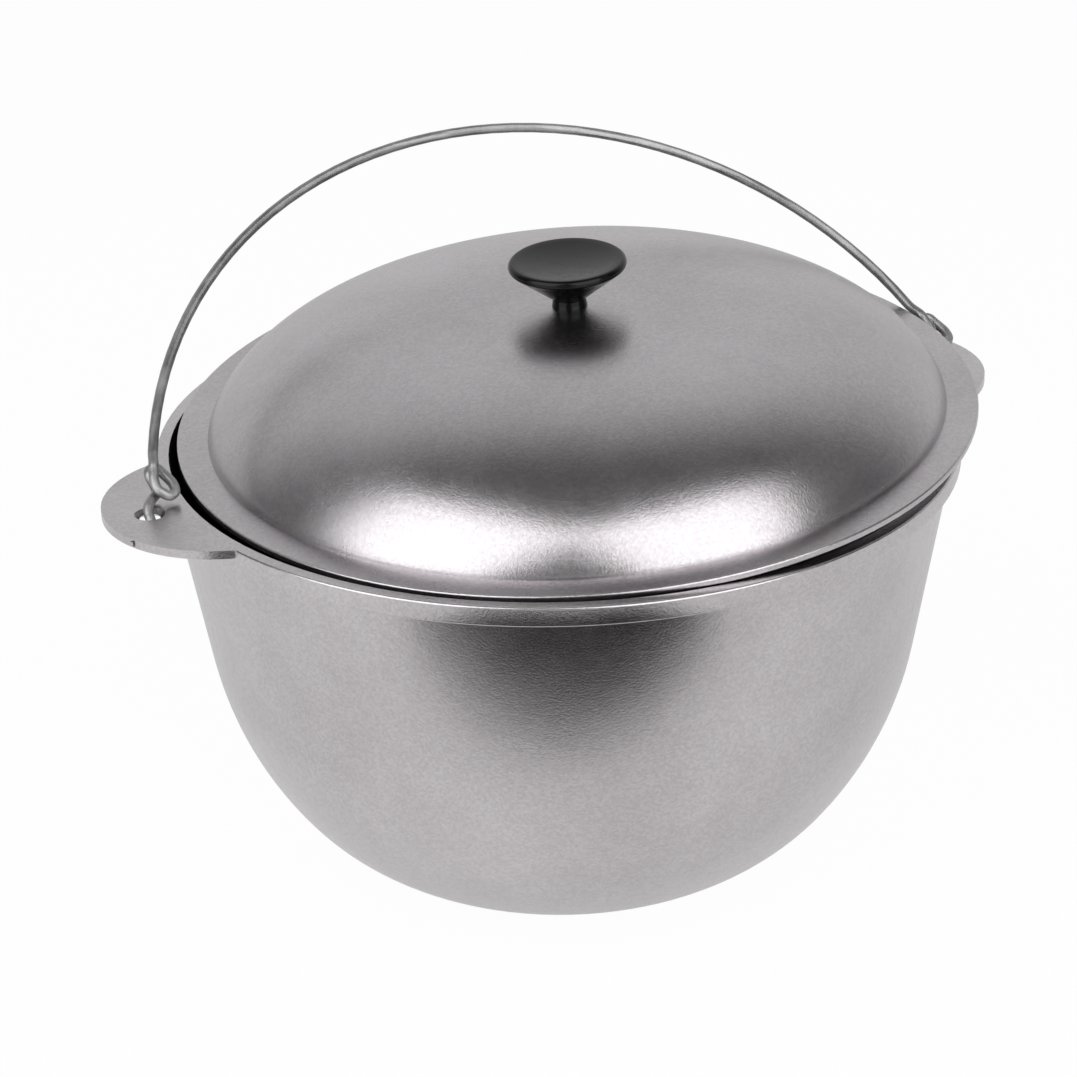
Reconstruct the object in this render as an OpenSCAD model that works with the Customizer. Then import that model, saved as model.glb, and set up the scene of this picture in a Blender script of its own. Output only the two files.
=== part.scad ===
// Cast cauldron with a loose lid and a wire bail.
// Origin: centre of the flat base, on the surface it stands on. +Z up, +X through the right ear,
// the bail leans back towards +Y. The lid lies askew on the rim, as it was found.

/* [Pot] */
// Outer diameter of the lip band
rim_d = 320; // [280:5:360]
// Height from the surface to the rim
pot_h = 181.7; // [165:0.1:230]
// Thickness of the cast wall and floor
wall_t = 2.6; // [2:0.1:4]
// Height of the lip band round the rim
lip_h = 7.8; // [6:0.1:12]
// How far the lip band stands out from the wall
lip_proud = 3.6; // [2:0.1:6]
// Slope of the upper wall from upright, degrees
wall_slope = 10; // [6:1:14]
// Radius of the belly's upper round
belly_r = 143; // [130:1:150]
// Turn of the belly's upper round, degrees
belly_turn = 27.4; // [22:0.2:32]
// Radius of the round down to the base
heel_r = 92.7; // [80:0.1:100]
// Turn of the round down to the base, degrees
heel_turn = 44.3; // [38:0.1:48]

/* [Ears] */
// Radius of each ear's round outline
ear_r = 47.3; // [40:0.1:52]
// How far each ear stands out past the lip band
ear_reach = 28.6; // [26:0.1:32]
// Thickness of the ear plates
ear_t = 3.4; // [3:0.1:5]
// Distance of each ear hole from the edge of the lip band
hole_out = 11.4; // [9:0.1:13]
// Diameter of the ear hole at its waist
hole_d = 8; // [7.6:0.1:9]
// Diameter of the ear hole's two mouths
mouth_d = 12; // [11.6:0.1:13]
// Radius of the casting nub on the left ear's edge
nub_r = 0.9; // [0.6:0.1:1.6]
// Place of the nub round the left ear's edge, degrees towards the front
nub_az = 24; // [0:1:40]

/* [Lid] */
// How far the flange's edge lies inside the lip band's edge
lid_inset = 0; // [0:0.1:2]
// Width of the flat flange
flange_w = 12.4; // [10:0.1:16]
// Thickness of the flange
flange_t = 3; // [2.4:0.1:4]
// Height of the dome above the flange
dome_h = 44.6; // [40:0.1:50]
// Squareness of the dome's shoulder seen across
dome_across = 3.5; // [3:0.1:5]
// Squareness of the dome's shoulder seen upwards
dome_up = 1.45; // [1.35:0.05:2]
// Play of the locating ring in the rim, all round
ring_gap = 5.1; // [4.5:0.1:5.5]
// Depth of the locating ring
ring_depth = 7.4; // [6:0.1:9]
// Thickness of the locating ring
ring_t = 2.4; // [2:0.1:3]
// How far the lid has slid on past that play
lid_ride = 6.1; // [4:0.1:6.5]
// Direction in which the lid has slid, degrees from +X
slip_az = 24.5; // [0:0.5:40]
// Clearance where the lid sits on the rim
lid_gap = 0.3; // [0.2:0.05:0.5]

/* [Knob] */
// Diameter of the knob's disc
knob_d = 46.8; // [40:0.1:52]
// Height of the knob
knob_h = 19.5; // [18.5:0.5:26]
// Thickness of the disc at its edge
knob_edge = 3.6; // [3:0.1:5]
// Diameter of the knob's neck
neck_d = 13.4; // [13:0.1:16]
// Diameter of the knob's foot
foot_d = 14; // [13.6:0.2:18]
// Depth of the dish in the knob's top
dish_depth = 1.8; // [1:0.1:3]
// Width of the flat edge round the dish
dish_edge = 2.2; // [2:0.1:4]
// Height at which the knob's neck starts to flare
waist_h = 3.6; // [2:0.1:5]
// Diameter of the threaded insert
insert_d = 8; // [7.4:0.1:9]
// Length of the threaded insert
insert_l = 12; // [10:0.5:13]
// Diameter of the screw
screw_d = 5; // [4:0.5:5]
// Length of screw inside the knob
screw_in = 9; // [6:0.5:9.5]
// Diameter of the screw's head
head_d = 9.6; // [9:0.1:11]
// Height of the screw's head
head_h = 3.6; // [3:0.1:4]
// Width of the slot in the screw's head
slot_w = 1.2; // [1:0.1:1.6]
// Depth of the slot in the screw's head
slot_depth = 1.6; // [1:0.1:2]
// Diameter of the flat washer
washer_d = 15; // [12:0.5:18]
// Thickness of the flat washer
washer_t = 1.2; // [1:0.1:2]
// Diameter of the spring washer
spring_d = 9.2; // [8.5:0.1:9.5]
// Thickness of the spring washer
spring_t = 1.3; // [1:0.1:1.6]
// Width of the slit in the spring washer
slit_w = 0.8; // [0.5:0.1:1.5]
// Clearance round the screw
screw_gap = 0.25; // [0.15:0.05:0.4]
// Clearance round the insert and in its thread
thread_gap = 0.05; // [0.03:0.01:0.1]

/* [Bail] */
// Diameter of the wire
wire_d = 4; // [3.6:0.1:4.4]
// How much the arch's radius exceeds the lip band's
arch_out = 16.3; // [16:0.1:18]
// Depth of the arch's centre below the hinge line
arch_drop = 29.5; // [26:0.5:34]
// Sideways offset of the hand-bent arch
arch_shift = 5; // [2:0.5:6]
// Lean of the bail from upright at rest, degrees
lean = 51; // [40:1:52]
// Width of each end eye, between wire middles
eye_w = 7.2; // [6.8:0.1:8]
// Height of each end eye, between wire middles
eye_h = 15.5; // [15:0.1:17]
// Length of each bent tail under the ear
tail_l = 9; // [7:0.5:11]
// Height of the bend from each eye's top to the arch
arch_lead = 6; // [5:0.5:8]
// Gap between the wires where an eye crosses itself
lap_gap = 0.6; // [0.5:0.1:1]
// Gap between an eye and the ear it rests on
seat_gap = 0.3; // [0.25:0.05:0.5]

/* [Hidden] */
$fn = 96;
fine = 0.02;
past = 1;
arc_step = 2;
dome_step = 1.5;
edge_r = 0.8;
foot_h = 0.6;

// Pot outline, worked out from the rim down
rim_r = rim_d / 2;
ear_x = rim_r + ear_reach - ear_r;
hole_x = rim_r + hole_out;
wall_top_r = rim_r - lip_proud;
belly_end = wall_slope + belly_turn;
heel_end = belly_end + heel_turn;
belly_drop = belly_r * (sin(belly_end) - sin(wall_slope));
heel_drop = heel_r * (sin(heel_end) - sin(belly_end));
cone_z = belly_drop + heel_drop;
cone_drop = pot_h - lip_h - cone_z;
cone_r = wall_top_r - cone_drop * tan(wall_slope);
belly_c = [cone_r - belly_r * cos(wall_slope), cone_z + belly_r * sin(wall_slope)];
heel_c = belly_c + (belly_r - heel_r) * [cos(belly_end), -sin(belly_end)];
rim_inner_r = wall_top_r + lip_h * tan(wall_slope) - wall_t / cos(wall_slope);

// Points of an arc about c, radius r, from angle a to angle b
function arc(c, r, a, b) =
    let (n = max(2, ceil(abs(b - a) / arc_step)))
    [for (i = [0 : n]) c + r * [cos(a + (b - a) * i / n), sin(a + (b - a) * i / n)]];

// Rest of the lid on the rim: the flange lies on one side, the ring rides on the other
lid_r = rim_r - lid_inset;
ring_r = rim_inner_r - ring_gap;
lid_slip = ring_gap + lid_ride;
dome_r = lid_r - flange_w;
x_flange = (rim_inner_r * rim_inner_r - lid_r * lid_r + lid_slip * lid_slip) / (2 * lid_slip);
x_ring = (rim_inner_r * rim_inner_r - ring_r * ring_r + lid_slip * lid_slip) / (2 * lid_slip);
lid_tilt = atan(ring_depth / (x_ring - x_flange));
lid_rise = lid_gap + (lid_slip - x_flange) * tan(lid_tilt);

// Heights in the lid's own frame, from the underside of the flange
dome_top = flange_t + dome_h;
dome_under = dome_top - wall_t;
spring_z = dome_under - washer_t - spring_t;
seat_r = max(washer_d, foot_d) / 2 + edge_r;
disc_r = knob_d / 2;
dish_r = disc_r - dish_edge;
dish_curve = (dish_r * dish_r + dish_depth * dish_depth) / (2 * dish_depth);

// Bail: local points are [x across, h up from the hinge line, n out of the arch's plane]
hinge_z = pot_h - ear_t / 2;
arch_r = rim_r + arch_out;
wire_r = wire_d / 2;
wire_sides = 12;
lap = wire_r + lap_gap / 2;
eye_low = (ear_t / 2 + wire_r + seat_gap) / cos(lean);
tail_low = -eye_low;
arch_end_h = eye_low + eye_h + arch_lead;
arch_end_a = asin((arch_end_h + arch_drop) / arch_r);

// Distance of the arch from the hole at a height h, side -1 left and +1 right
function leg_off(side, h) =
    arch_shift + side * (sqrt(arch_r * arch_r - pow(h + arch_drop, 2)) - hole_x);

// One end of the bail: down the leg, round the eye, up and down behind the leg, into the hole
function hook_knots(side) =
    let (top = eye_low + eye_h, mid = eye_low + 0.55 * eye_h, d = leg_off(side, mid))
    [for (k = [
        [leg_off(side, top), top, lap],
        [leg_off(side, eye_low + 0.8 * eye_h), eye_low + 0.8 * eye_h, lap],
        [d, mid, lap],
        [d, eye_low + 0.3 * eye_h, 0.9 * lap],
        [d + 0.25 * eye_w, eye_low + 0.14 * eye_h, 0.75 * lap],
        [d + 0.64 * eye_w, eye_low + 0.07 * eye_h, 0.25 * lap],
        [d + eye_w, eye_low + 0.18 * eye_h, 0],
        [d + 1.05 * eye_w, eye_low + 0.42 * eye_h, -0.4 * lap],
        [d + 0.92 * eye_w, eye_low + 0.63 * eye_h, -0.75 * lap],
        [d + 0.73 * eye_w, eye_low + 0.82 * eye_h, -0.95 * lap],
        [d + 0.58 * eye_w, eye_low + 0.95 * eye_h, -lap],
        [d + 0.34 * eye_w, top, -lap],
        [d + 0.1 * eye_w, eye_low + 0.95 * eye_h, -lap],
        [d, eye_low + 0.82 * eye_h, -lap],
        [d + 0.08 * eye_w, eye_low + 0.58 * eye_h, -lap],
        [d + 0.1 * eye_w, eye_low + 0.32 * eye_h, -0.95 * lap],
        [0.7 * d, eye_low + 0.16 * eye_h, -0.8 * lap],
        [0.42 * d, 1.1 * eye_low, -0.2 * lap],
        [0.12 * d, 0.72 * eye_low, 0],
        [0, 0.35 * eye_low, 0],
        [0, 0, 0],
        [0, 0.55 * tail_low, 0],
        [side * 0.25 * wire_d, 0.9 * tail_low, 0],
        [side * 0.9 * wire_d, tail_low, 0],
        [side * tail_l, tail_low, 0]]) k + [side * hole_x, 0, 0]];

arch_n = 48;
function arch_point(a) = [arch_shift + arch_r * cos(a), arch_r * sin(a) - arch_drop, 0];
arch_pts = [for (i = [0 : arch_n])
    arch_point(180 - arch_end_a - (180 - 2 * arch_end_a) * i / arch_n)];

function reversed(p) = [for (i = [len(p) - 1 : -1 : 0]) p[i]];

// Smooth curve through a list of knots, four steps to a span
function spline(p, before) =
    let (q = concat([before], p, [2 * p[len(p) - 1] - p[len(p) - 2]]))
    [for (i = [1 : len(q) - 3]) for (j = [1 : 4])
        let (t = j / 4)
        0.5 * (2 * q[i] + (q[i + 1] - q[i - 1]) * t
            + (2 * q[i - 1] - 5 * q[i] + 4 * q[i + 1] - q[i + 2]) * t * t
            + (3 * q[i] - q[i - 1] - 3 * q[i + 1] + q[i + 2]) * t * t * t)];

right_hook = spline(concat([arch_pts[arch_n]], hook_knots(1)), arch_pts[arch_n - 1]);
left_hook = spline(concat([arch_pts[0]], hook_knots(-1)), arch_pts[1]);
bail_path = concat(reversed(left_hook), arch_pts, right_hook);

// Round tube along a path that never runs along [0, 0, 1]
module tube(path, r, sides) {
    n = len(path);
    rings = [for (i = [0 : n - 1])
        let (t = path[min(i + 1, n - 1)] - path[max(i - 1, 0)],
             u = cross(t, [0, 0, 1]) / norm(cross(t, [0, 0, 1])),
             v = cross(t, u) / norm(t))
        for (k = [0 : sides - 1]) path[i] + r * (cos(360 * k / sides) * u + sin(360 * k / sides) * v)];
    sheath = [for (i = [0 : n - 2]) for (k = [0 : sides - 1])
        let (a = i * sides + k, b = i * sides + (k + 1) % sides)
        each [[a, a + sides, b + sides], [a, b + sides, b]]];
    first_cap = [for (k = [1 : sides - 2]) [0, k, k + 1]];
    last = (n - 1) * sides;
    last_cap = [for (k = [1 : sides - 2]) [last, last + k + 1, last + k]];
    polyhedron(points = rings, faces = concat(sheath, first_cap, last_cap), convexity = 8);
}

module ear_hole() {
    translate([0, 0, hinge_z]) {
        cylinder(h = ear_t / 2 + fine, d1 = hole_d, d2 = mouth_d);
        mirror([0, 0, 1]) cylinder(h = ear_t / 2 + fine, d1 = hole_d, d2 = mouth_d);
    }
}

module ear() {
    difference() {
        translate([ear_x, 0, pot_h - ear_t]) cylinder(r = ear_r, h = ear_t);
        translate([0, 0, pot_h - ear_t - past]) cylinder(r = rim_r - lip_proud / 2, h = ear_t + 2 * past);
        translate([hole_x, 0, 0]) ear_hole();
    }
}

module pot() {
    color("silver") {
        rotate_extrude($fn = 180) polygon(concat(
            [[0, 0]],
            reversed(arc(heel_c, heel_r, -belly_end, -heel_end)),
            reversed(arc(belly_c, belly_r, -wall_slope, -belly_end)),
            [[wall_top_r, pot_h - lip_h]],
            arc([rim_r - edge_r, pot_h - lip_h + edge_r], edge_r, -90, 0),
            arc([rim_r - edge_r, pot_h - edge_r], edge_r, 0, 90),
            [[rim_inner_r, pot_h]],
            arc(belly_c, belly_r - wall_t, -wall_slope, -belly_end),
            arc(heel_c, heel_r - wall_t, -belly_end, -heel_end),
            [[0, heel_c[1] - (heel_r - wall_t) * sin(heel_end)]]));
        ear();
        mirror([1, 0, 0]) ear();
        translate([-ear_x, 0, hinge_z - nub_r]) rotate([0, 0, 180 + nub_az]) translate([ear_r, 0, 0])
            cylinder(r = nub_r, h = 2 * nub_r);
    }
}

// Point of the dome's outline at angle t up from the foot, for foot radius r and height h
function dome_point(t, r, h) = [r * pow(cos(t), 2 / dome_across), flange_t + h * pow(sin(t), 2 / dome_up)];

// Puts a piece made in the lid's frame where the lid lies
module on_lid() {
    translate([lid_slip * cos(slip_az), lid_slip * sin(slip_az), pot_h + lid_rise])
        rotate([0, 0, slip_az]) rotate([0, -lid_tilt, 0]) children();
}

module lid() {
    color("silver") on_lid() difference() {
        rotate_extrude($fn = 180) polygon(concat(
            [for (t = [0 : dome_step : 90 - dome_step]) dome_point(t, dome_r, dome_h)],
            [[seat_r, dome_top], [0, dome_top], [0, dome_under], [seat_r, dome_under]],
            [for (t = [90 - dome_step : -dome_step : 0]) dome_point(t, dome_r - wall_t, dome_h - wall_t)],
            [[dome_r - wall_t, 0], [ring_r - ring_t, 0], [ring_r - ring_t, -ring_depth]],
            [[ring_r, -ring_depth], [ring_r, 0]],
            arc([lid_r - edge_r, edge_r], edge_r, -90, 0),
            arc([lid_r - edge_r, flange_t - edge_r], edge_r, 0, 90)));
        translate([0, 0, dome_under - past])
            cylinder(d = screw_d + 2 * screw_gap, h = wall_t + 2 * past);
    }
}

module knob() {
    color([0.05, 0.05, 0.05]) on_lid() translate([0, 0, dome_top]) difference() {
        rotate_extrude() difference() {
            polygon(concat(
                [[0, 0], [foot_d / 2, 0], [foot_d / 2, foot_h]],
                [[neck_d / 2, 3 * foot_h], [neck_d / 2, waist_h]],
                arc([disc_r - knob_edge / 2, knob_h - knob_edge / 2], knob_edge / 2, -60, 90),
                [[0, knob_h]]));
            translate([0, knob_h - dish_depth + dish_curve]) circle(r = dish_curve, $fn = 180);
        }
        translate([0, 0, -past])
            cylinder(d = insert_d + 2 * thread_gap, h = past + insert_l + 2 * thread_gap);
    }
}

module knob_insert() {
    color("goldenrod") on_lid() translate([0, 0, dome_top + thread_gap]) difference() {
        cylinder(d = insert_d, h = insert_l);
        translate([0, 0, -past]) cylinder(d = screw_d + 2 * thread_gap, h = insert_l + 2 * past);
    }
}

module knob_screw() {
    color("lightgray") on_lid() translate([0, 0, spring_z]) {
        cylinder(d = screw_d, h = dome_top - spring_z + screw_in);
        difference() {
            translate([0, 0, -head_h]) cylinder(d = head_d, h = head_h);
            translate([-head_d, -slot_w / 2, -head_h - past])
                cube([2 * head_d, slot_w, slot_depth + past]);
        }
    }
}

module washer(d, t) {
    difference() {
        cylinder(d = d, h = t);
        translate([0, 0, -past]) cylinder(d = screw_d + 2 * screw_gap, h = t + 2 * past);
    }
}

module knob_washer() {
    color("lightgray") on_lid() translate([0, 0, spring_z + spring_t]) washer(washer_d, washer_t);
}

module lock_washer() {
    color("gray") on_lid() translate([0, 0, spring_z]) difference() {
        washer(spring_d, spring_t);
        translate([0, -slit_w / 2, -past]) cube([spring_d, slit_w, spring_t + 2 * past]);
    }
}

module bail() {
    color("darkgray") translate([0, 0, hinge_z]) rotate([90 - lean, 0, 0])
        tube(bail_path, wire_r, wire_sides);
}

pot();
lid();
knob();
knob_insert();
knob_screw();
knob_washer();
lock_washer();
bail();
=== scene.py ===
"""Looks of a cast-aluminium cauldron with a loose lid and a wire bail."""
import logging
import math
from dataclasses import dataclass, field
from enum import Enum

import bpy
from mathutils import Matrix, Vector


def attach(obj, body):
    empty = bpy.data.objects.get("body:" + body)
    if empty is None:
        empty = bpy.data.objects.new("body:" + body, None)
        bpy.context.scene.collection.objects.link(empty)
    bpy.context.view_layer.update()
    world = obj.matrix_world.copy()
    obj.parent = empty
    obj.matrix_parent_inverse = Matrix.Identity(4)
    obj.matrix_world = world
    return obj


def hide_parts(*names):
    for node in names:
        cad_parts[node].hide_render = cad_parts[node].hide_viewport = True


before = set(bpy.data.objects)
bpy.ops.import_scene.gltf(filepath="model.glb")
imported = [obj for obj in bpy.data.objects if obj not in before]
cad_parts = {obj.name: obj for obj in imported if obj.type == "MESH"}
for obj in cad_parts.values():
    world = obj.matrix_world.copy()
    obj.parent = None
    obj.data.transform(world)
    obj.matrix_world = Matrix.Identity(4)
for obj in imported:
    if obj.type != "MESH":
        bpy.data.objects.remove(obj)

log = logging.getLogger("cauldron")
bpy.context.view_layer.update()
MM = 0.001


class Body(str, Enum):
    """Moving bodies of the cauldron."""

    POT = "pot"
    LID = "lid"
    BAIL = "bail"


def linear(hex_colour: str) -> tuple[float, float, float, float]:
    """Turn an sRGB hex colour into linear light.

    Args:
        hex_colour: Six hex digits, such as "b5b1b4".

    Returns:
        Linear red, green, blue and an alpha of 1.
    """
    parts = [int(hex_colour[i:i + 2], 16) / 255 for i in (0, 2, 4)]
    light = [p / 12.92 if p <= 0.04045 else ((p + 0.055) / 1.055) ** 2.4 for p in parts]
    return (light[0], light[1], light[2], 1.0)


def per_metre(size_mm: float) -> float:
    """Texture scale at which one feature is size_mm across in Object coordinates."""
    return 1.0 / (size_mm * MM)


def add_node(tree: bpy.types.NodeTree, kind: str, settings: dict | None = None,
             values: dict | None = None, links: dict | None = None) -> bpy.types.Node:
    """Add a node with its settings, socket values and incoming links.

    Args:
        tree: Node tree that gets the node.
        kind: Blender's type name of the node.
        settings: Properties of the node.
        values: Values of its input sockets, by name or index.
        links: Output sockets to link, by the name or index of the input.

    Returns:
        The new node.
    """
    node = tree.nodes.new(kind)
    for name, value in (settings or {}).items():
        setattr(node, name, value)
    for name, value in (values or {}).items():
        node.inputs[name].default_value = value
    for name, source in (links or {}).items():
        tree.links.new(source, node.inputs[name])
    return node


def set_ramp(node: bpy.types.Node, stops: list[tuple[float, tuple[float, float, float, float]]]) -> None:
    """Give a colour ramp its stops.

    Args:
        node: Color Ramp node.
        stops: Position and linear colour of each stop, from low to high.
    """
    ramp = node.color_ramp
    while len(ramp.elements) < len(stops):
        ramp.elements.new(0.5)
    for element, (place, colour) in zip(ramp.elements, stops):
        element.position = place
        element.color = colour


def grey(level: float) -> tuple[float, float, float, float]:
    """Grey of a level from 0 to 1, in linear light."""
    return (level, level, level, 1.0)


@dataclass(frozen=True)
class MetalFinish:
    """A metal surface with cloudy colour, a gritty bump and a painted sparkle.

    The cloud is the dull and bright patches of handling, the grain is the grit of casting and
    tumbling, and the sparkle is painted glint: each crystal's colour is made a little lighter or darker, so
    that it seems to flash by itself.
    """

    name: str
    dark: str
    light: str
    roughness: float
    cloud_mm: float
    grain_mm: float
    painted_glint_mm: float
    grain_height_mm: float
    # Share by which each crystal's colour is painted lighter or darker, as painted glint
    painted_glint_share: float
    roughness_swing: float = 0.1

    def make(self) -> bpy.types.Material:
        """Build the node material."""
        material = bpy.data.materials.new(self.name)
        material.use_nodes = True
        tree = material.node_tree
        tree.nodes.clear()
        place = add_node(tree, "ShaderNodeTexCoord").outputs["Object"]
        cloud = add_node(tree, "ShaderNodeTexNoise", None,
                         {"Scale": per_metre(self.cloud_mm), "Detail": 5.0, "Roughness": 0.6},
                         {"Vector": place})
        crystal = add_node(tree, "ShaderNodeTexVoronoi", {"feature": "F1"},
                           {"Scale": per_metre(self.painted_glint_mm)}, {"Vector": place})
        grain = add_node(tree, "ShaderNodeTexNoise", None,
                         {"Scale": per_metre(self.grain_mm), "Detail": 3.0, "Roughness": 0.7},
                         {"Vector": place})
        tint = add_node(tree, "ShaderNodeValToRGB", None, None, {"Fac": cloud.outputs["Fac"]})
        set_ramp(tint, [(0.3, linear(self.dark)), (0.7, linear(self.light))])
        # Painted glint: each crystal's colour is scaled a little up or down to stand in for the flash of light
        # off it
        painted_glint_cell = add_node(tree, "ShaderNodeSeparateColor", None, None, {"Color": crystal.outputs["Color"]})
        level = add_node(tree, "ShaderNodeMapRange", None,
                         {"To Min": 1.0 - self.painted_glint_share, "To Max": 1.0 + self.painted_glint_share},
                         {"Value": painted_glint_cell.outputs["Red"]})
        colour = add_node(tree, "ShaderNodeVectorMath", {"operation": "SCALE"}, None,
                          {"Vector": tint.outputs["Color"], "Scale": level.outputs["Result"]})
        rough = add_node(tree, "ShaderNodeMapRange", None,
                         {"From Min": 0.3, "From Max": 0.7,
                          "To Min": self.roughness - self.roughness_swing,
                          "To Max": self.roughness + self.roughness_swing},
                         {"Value": cloud.outputs["Fac"]})
        bump = add_node(tree, "ShaderNodeBump", None,
                        {"Strength": 0.8, "Distance": self.grain_height_mm * MM},
                        {"Height": grain.outputs["Fac"]})
        shader = add_node(tree, "ShaderNodeBsdfPrincipled", None, {"Metallic": 1.0},
                          {"Base Color": colour.outputs["Vector"], "Roughness": rough.outputs["Result"],
                           "Normal": bump.outputs["Normal"]})
        add_node(tree, "ShaderNodeOutputMaterial", None, None, {"Surface": shader.outputs["BSDF"]})
        return material


@dataclass(frozen=True)
class MouldedFinish:
    """Glossy compression-moulded phenolic, near black, with faint waviness and rubbed patches."""

    name: str = "phenolic, compression moulded"
    dark: str = "040404"
    light: str = "0b0b0b"
    roughness: float = 0.16
    wave_mm: float = 9.0
    rub_mm: float = 3.0

    def make(self) -> bpy.types.Material:
        """Build the node material."""
        material = bpy.data.materials.new(self.name)
        material.use_nodes = True
        tree = material.node_tree
        tree.nodes.clear()
        place = add_node(tree, "ShaderNodeTexCoord").outputs["Object"]
        wave = add_node(tree, "ShaderNodeTexNoise", None,
                        {"Scale": per_metre(self.wave_mm), "Detail": 2.0}, {"Vector": place})
        rub = add_node(tree, "ShaderNodeTexNoise", None,
                       {"Scale": per_metre(self.rub_mm), "Detail": 6.0}, {"Vector": place})
        tint = add_node(tree, "ShaderNodeValToRGB", None, None, {"Fac": rub.outputs["Fac"]})
        set_ramp(tint, [(0.35, linear(self.dark)), (0.75, linear(self.light))])
        rough = add_node(tree, "ShaderNodeMapRange", None,
                         {"From Min": 0.4, "From Max": 0.7, "To Min": self.roughness,
                          "To Max": self.roughness + 0.14}, {"Value": rub.outputs["Fac"]})
        bump = add_node(tree, "ShaderNodeBump", None, {"Strength": 0.2, "Distance": 0.1 * MM},
                        {"Height": wave.outputs["Fac"]})
        shader = add_node(tree, "ShaderNodeBsdfPrincipled", None, {"IOR": 1.45, "Specular IOR Level": 0.28},
                          {"Base Color": tint.outputs["Color"], "Roughness": rough.outputs["Result"],
                           "Normal": bump.outputs["Normal"]})
        add_node(tree, "ShaderNodeOutputMaterial", None, None, {"Surface": shader.outputs["BSDF"]})
        return material


# Tumbled casting: satin grey with a faint lilac cast and a coarse painted sparkle of crystal glints
POT_METAL = MetalFinish("aluminium, cast and tumbled", "b5b1b3", "c6c2c4", 0.22, 70.0, 0.9, 1.0, 0.08, 0.07,
                        0.03)
# The lid is the same casting, a touch darker in colour and rougher than the pot
LID_METAL = MetalFinish("aluminium, cast lid", "afabad", "c1bdc0", 0.26, 70.0, 0.9, 1.0, 0.08, 0.07,
                        0.03)
# Hot-dip zinc on drawn wire: dull grey with a soft spangle, painted as faint crystal glints
WIRE_METAL = MetalFinish("steel wire, galvanised", "8e8e8f", "b6b6b6", 0.46, 14.0, 0.8, 2.2, 0.03, 0.05)
# Bright zinc on turned steel
ZINC_METAL = MetalFinish("steel, zinc plated", "9fa3a8", "c2c4c8", 0.3, 8.0, 0.5, 0.9, 0.02, 0.05)
# Turned brass, slightly dulled
BRASS_METAL = MetalFinish("brass, turned", "a5813c", "c7a25a", 0.3, 6.0, 0.5, 0.9, 0.02, 0.05)


@dataclass
class Dressing:
    """A finish, the body it rides on and the nodes of the cauldron that take it."""

    finish: MetalFinish | MouldedFinish
    body: Body
    slot: str
    nodes: list[str] = field(default_factory=list)
    weld: float = 0.002 * MM
    crease: float = math.radians(30)

    def apply(self) -> None:
        """Dress every node in the finish and show a welded, smoothly shaded copy of it."""
        material = self.finish.make()
        for name in self.nodes:
            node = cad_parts[name]
            node.data.materials.clear()
            node.data.materials.append(material)
            piece = self.smooth_copy(node)
            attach(piece, self.body.value)
            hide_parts(name)
            log.info("%s dressed in %s", piece.name, material.name)

    def smooth_copy(self, node: bpy.types.Object) -> bpy.types.Object:
        """Copy a node, weld its loose triangles and shade it smoothly up to the crease angle.

        Args:
            node: CAD node whose shape is copied.

        Returns:
            The finished piece, at the origin.
        """
        piece = bpy.data.objects.new(node.name + "_skin", node.data.copy())
        bpy.context.scene.collection.objects.link(piece)
        bpy.ops.object.select_all(action="DESELECT")
        piece.select_set(True)
        bpy.context.view_layer.objects.active = piece
        if piece.data.has_custom_normals:
            bpy.ops.mesh.customdata_custom_splitnormals_clear()
        bpy.ops.object.mode_set(mode="EDIT")
        bpy.ops.mesh.select_all(action="SELECT")
        bpy.ops.mesh.remove_doubles(threshold=self.weld)
        bpy.ops.object.mode_set(mode="OBJECT")
        bpy.ops.object.shade_smooth_by_angle(angle=self.crease)
        return piece


@dataclass
class Viewpoint:
    """Camera fitted to the rim, the base and the ears in the photograph."""

    place: tuple[float, float, float] = (-0.535, -1.208, 0.748)
    heading: tuple[float, float] = (0.3987, 0.9171)
    pitch_deg: float = 24.88
    roll_deg: float = -1.54
    focal_px: float = 3600.0
    frame_px: float = 1077.0
    sensor_mm: float = 36.0

    def make(self) -> None:
        """Add the camera and make it the scene's own."""
        data = bpy.data.cameras.new("camera")
        data.sensor_fit = "HORIZONTAL"
        data.sensor_width = self.sensor_mm
        data.lens = self.sensor_mm * self.focal_px / self.frame_px
        data.clip_end = 20.0
        pitch = math.radians(self.pitch_deg)
        roll = math.radians(self.roll_deg)
        ahead = Vector((self.heading[0] * math.cos(pitch), self.heading[1] * math.cos(pitch), -math.sin(pitch)))
        level = Vector((self.heading[1], -self.heading[0], 0.0))
        upright = level.cross(ahead)
        right = math.cos(roll) * level + math.sin(roll) * upright
        up = -math.sin(roll) * level + math.cos(roll) * upright
        turn = Matrix((right, up, -ahead)).transposed().to_4x4()
        camera = bpy.data.objects.new("camera", data)
        camera.matrix_world = Matrix.Translation(self.place) @ turn
        bpy.context.scene.collection.objects.link(camera)
        bpy.context.scene.camera = camera


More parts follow.
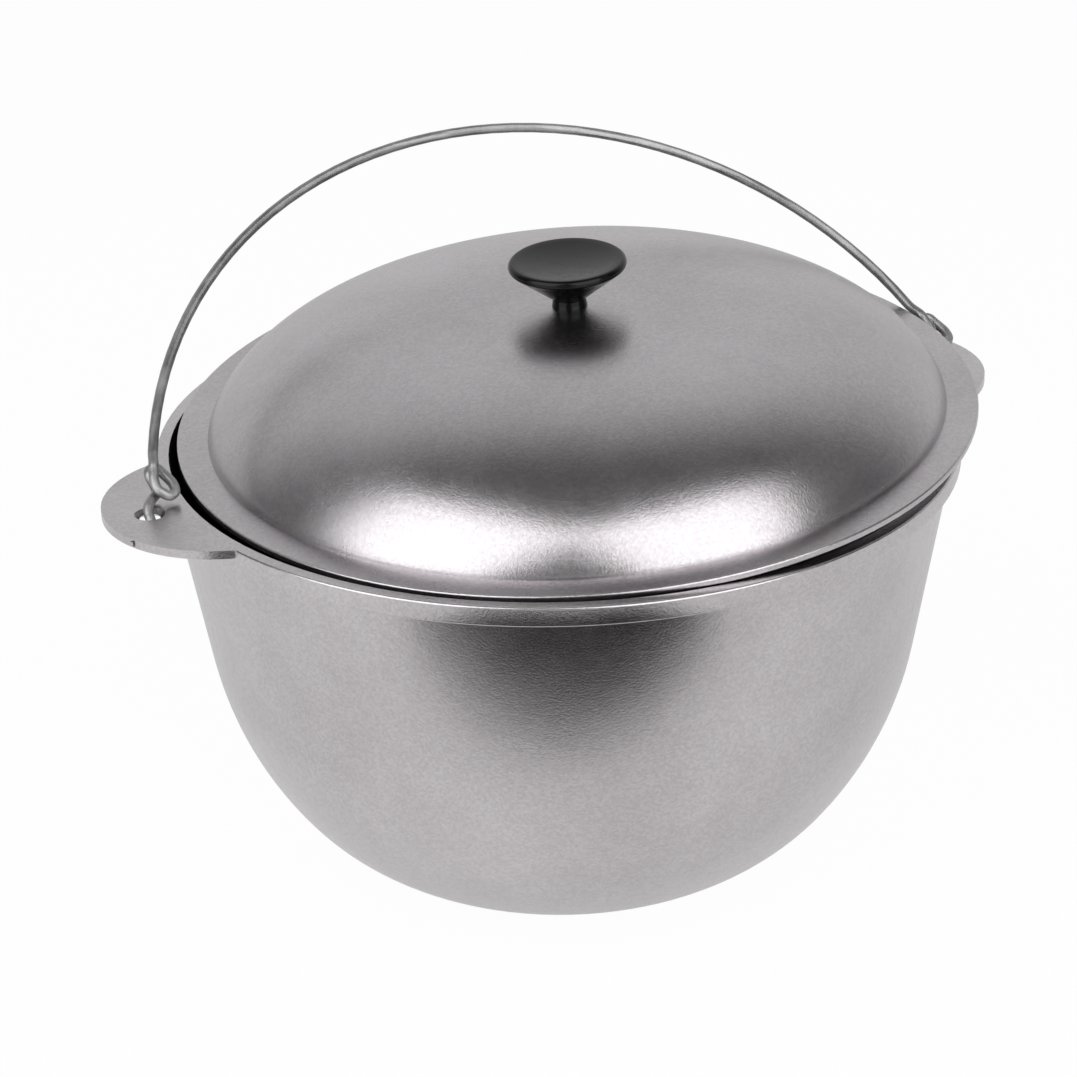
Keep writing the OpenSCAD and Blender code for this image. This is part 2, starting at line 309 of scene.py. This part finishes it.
@dataclass
class Studio:
    """Pale floor, a soft tent that is dim overhead and in front, and two tall softboxes."""

    floor_half: float = 6.0
    floor_shine: float = 0.97
    floor_mirrored: float = 0.5
    back_toward: tuple[float, float, float] = (0.3987, 0.9171, 0.0)
    back_level: float = 0.75
    front_level: float = 0.12
    box_wide: float = 1.5
    box_high: float = 2.0
    box_power: float = 21.0
    card_place: tuple[float, float, float] = (-0.1838, -0.4228, 0.001)
    card_turn: float = math.radians(-23.5)
    card_wide: float = 0.42
    card_deep: float = 0.4

    def make(self) -> None:
        """Build the floor, the world and the lamps."""
        self.floor()
        self.world()
        self.card()
        self.softbox("left softbox", (-1.287, -0.431, 0.968))
        self.softbox("right softbox", (0.294, -1.325, 0.968))

    def floor(self) -> None:
        """Add the floor, near white to the camera and in the metal, with a soft shadow on it."""
        bpy.ops.object.select_all(action="DESELECT")
        bpy.ops.mesh.primitive_plane_add(size=2 * self.floor_half, location=(0, 0, -0.0005))
        floor = bpy.context.object
        floor.name = "floor"
        material = bpy.data.materials.new("pale floor")
        material.use_nodes = True
        tree = material.node_tree
        tree.nodes.clear()
        ray = add_node(tree, "ShaderNodeLightPath").outputs
        mirrored = add_node(tree, "ShaderNodeMath", {"operation": "MULTIPLY"}, {1: self.floor_mirrored},
                            {0: ray["Is Glossy Ray"]})
        share = add_node(tree, "ShaderNodeMath", {"operation": "MULTIPLY_ADD"}, {1: self.floor_shine},
                         {0: ray["Is Camera Ray"], 2: mirrored.outputs[0]})
        matt = add_node(tree, "ShaderNodeBsdfDiffuse", None, {"Color": grey(0.8)})
        glow = add_node(tree, "ShaderNodeEmission", None, {"Color": grey(1.0), "Strength": 1.0})
        mix = add_node(tree, "ShaderNodeMixShader", None, None,
                       {0: share.outputs[0], 1: matt.outputs[0], 2: glow.outputs[0]})
        add_node(tree, "ShaderNodeOutputMaterial", None, None, {"Surface": mix.outputs[0]})
        floor.data.materials.append(material)

    def card(self) -> None:
        """Lay the dark card that only the pot's front mirrors, on the floor below the picture."""
        bpy.ops.object.select_all(action="DESELECT")
        bpy.ops.mesh.primitive_plane_add(size=1.0, location=self.card_place, rotation=(0, 0, self.card_turn))
        card = bpy.context.object
        card.name = "dark card"
        card.scale = (self.card_wide, self.card_deep, 1.0)
        card.visible_camera = False
        material = bpy.data.materials.new("dark card")
        material.use_nodes = True
        tree = material.node_tree
        tree.nodes.clear()
        matt = add_node(tree, "ShaderNodeBsdfDiffuse", None, {"Color": grey(0.02)})
        add_node(tree, "ShaderNodeOutputMaterial", None, None, {"Surface": matt.outputs[0]})
        card.data.materials.append(material)

    def world(self) -> None:
        """Light from a tent that is pale behind and dim overhead, and white to the camera."""
        world = bpy.data.worlds.new("tent")
        bpy.context.scene.world = world
        world.use_nodes = True
        tree = world.node_tree
        tree.nodes.clear()
        ray = add_node(tree, "ShaderNodeLightPath").outputs["Is Camera Ray"]
        sky = add_node(tree, "ShaderNodeTexCoord").outputs["Generated"]
        back = add_node(tree, "ShaderNodeVectorMath", {"operation": "DOT_PRODUCT"}, {1: self.back_toward},
                        {0: sky})
        tent = add_node(tree, "ShaderNodeMapRange", {"interpolation_type": "SMOOTHSTEP"},
                        {"From Min": 0.15, "From Max": 0.75, "To Min": self.front_level,
                         "To Max": self.back_level}, {"Value": back.outputs["Value"]})
        level = add_node(tree, "ShaderNodeMapRange", None, {"To Max": 1.0},
                         {"Value": ray, "To Min": tent.outputs["Result"]})
        glow = add_node(tree, "ShaderNodeBackground", None, {"Color": grey(1.0)},
                        {"Strength": level.outputs["Result"]})
        add_node(tree, "ShaderNodeOutputWorld", None, None, {"Surface": glow.outputs[0]})

    def softbox(self, name: str, place: tuple[float, float, float]) -> None:
        """Add a tall soft lamp that faces the cauldron.

        Args:
            name: Name of the lamp.
            place: Where its middle stands, in metres.
        """
        data = bpy.data.lights.new(name, "AREA")
        data.shape = "RECTANGLE"
        data.size = self.box_wide
        data.size_y = self.box_high
        data.energy = self.box_power
        lamp = bpy.data.objects.new(name, data)
        aim = Vector((0.0, 0.0, 0.12)) - Vector(place)
        lamp.rotation_euler = aim.to_track_quat("-Z", "Y").to_euler()
        lamp.location = place
        bpy.context.scene.collection.objects.link(lamp)


def main() -> None:
    """Dress the cauldron and set up the studio."""
    logging.basicConfig(level=logging.INFO)
    bpy.context.scene.view_settings.view_transform = "Standard"
    Viewpoint().make()
    Studio().make()
    Dressing(POT_METAL, Body.POT, "cast_aluminium", ["pot"]).apply()
    Dressing(LID_METAL, Body.LID, "lid_aluminium", ["lid"]).apply()
    Dressing(MouldedFinish(), Body.LID, "phenolic", ["knob"]).apply()
    Dressing(BRASS_METAL, Body.LID, "brass_insert", ["knob_insert"]).apply()
    Dressing(ZINC_METAL, Body.LID, "zinc_steel", ["knob_screw", "knob_washer", "lock_washer"]).apply()
    Dressing(WIRE_METAL, Body.BAIL, "galvanised_wire", ["bail"]).apply()


if __name__ == "__main__":
    main()
